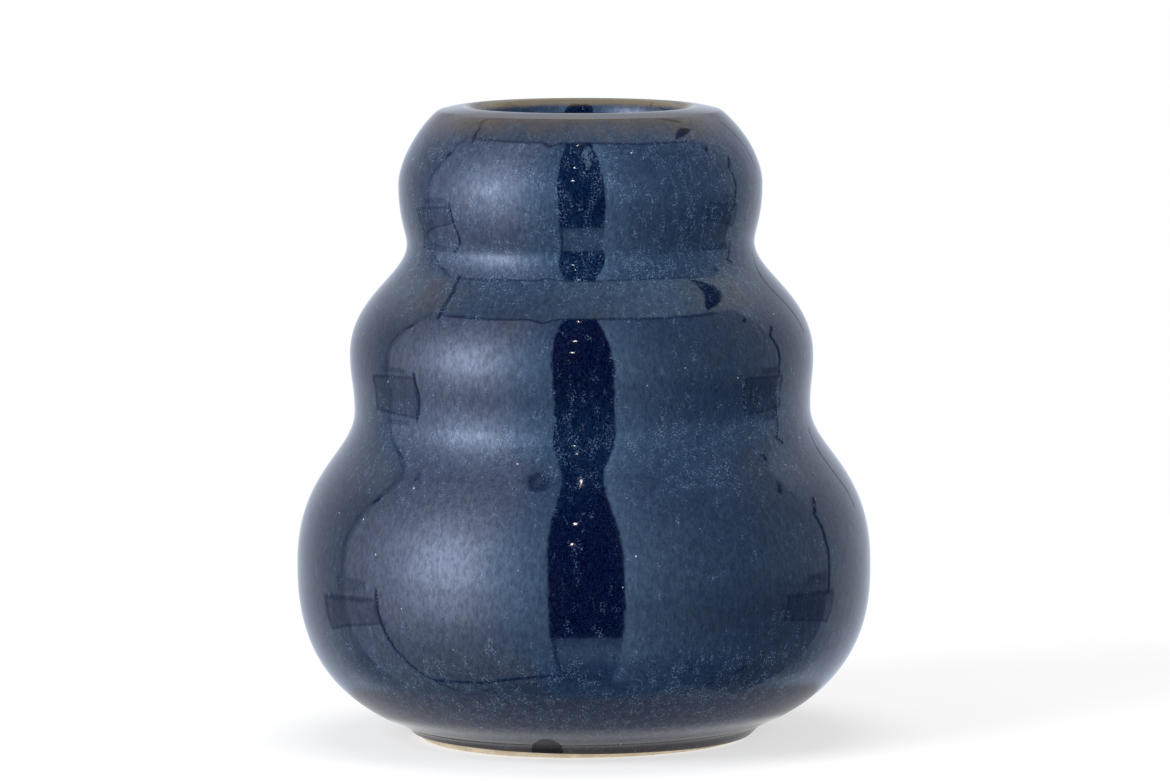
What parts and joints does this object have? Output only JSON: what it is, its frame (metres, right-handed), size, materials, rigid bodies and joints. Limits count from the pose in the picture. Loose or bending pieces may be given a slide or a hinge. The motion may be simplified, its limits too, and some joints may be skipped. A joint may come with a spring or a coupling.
{
  "type": "vase",
  "caption": "Earthenware vase of stacked round bulbs, widest at the bottom, with a softly rounded lip, a wide mouth, a glossy dark blue glaze and a bare clay foot ring.",
  "frame": {"origin": "middle of the foot ring, on the table", "axes": "+Z is the axis of the pot and points up; the pot is round, so X and Y are free"},
  "size_m": [0.1632, 0.1632, 0.18],
  "materials": {
    "bare_clay": "matt, fine grained",
    "blue_glaze": "glossy, speckled navy",
    "lip_glaze": "glossy, breaking to brown",
    "inner_glaze": "glossy, dark blue",
    "base_glaze": "glossy, dark blue"
  },
  "bodies": {
    "root": {"clay_body": "bare_clay", "outer_glaze": "blue_glaze", "lip_glaze": "lip_glaze", "inner_glaze": "inner_glaze", "base_glaze": "base_glaze"}
  },
  "joints": []
}
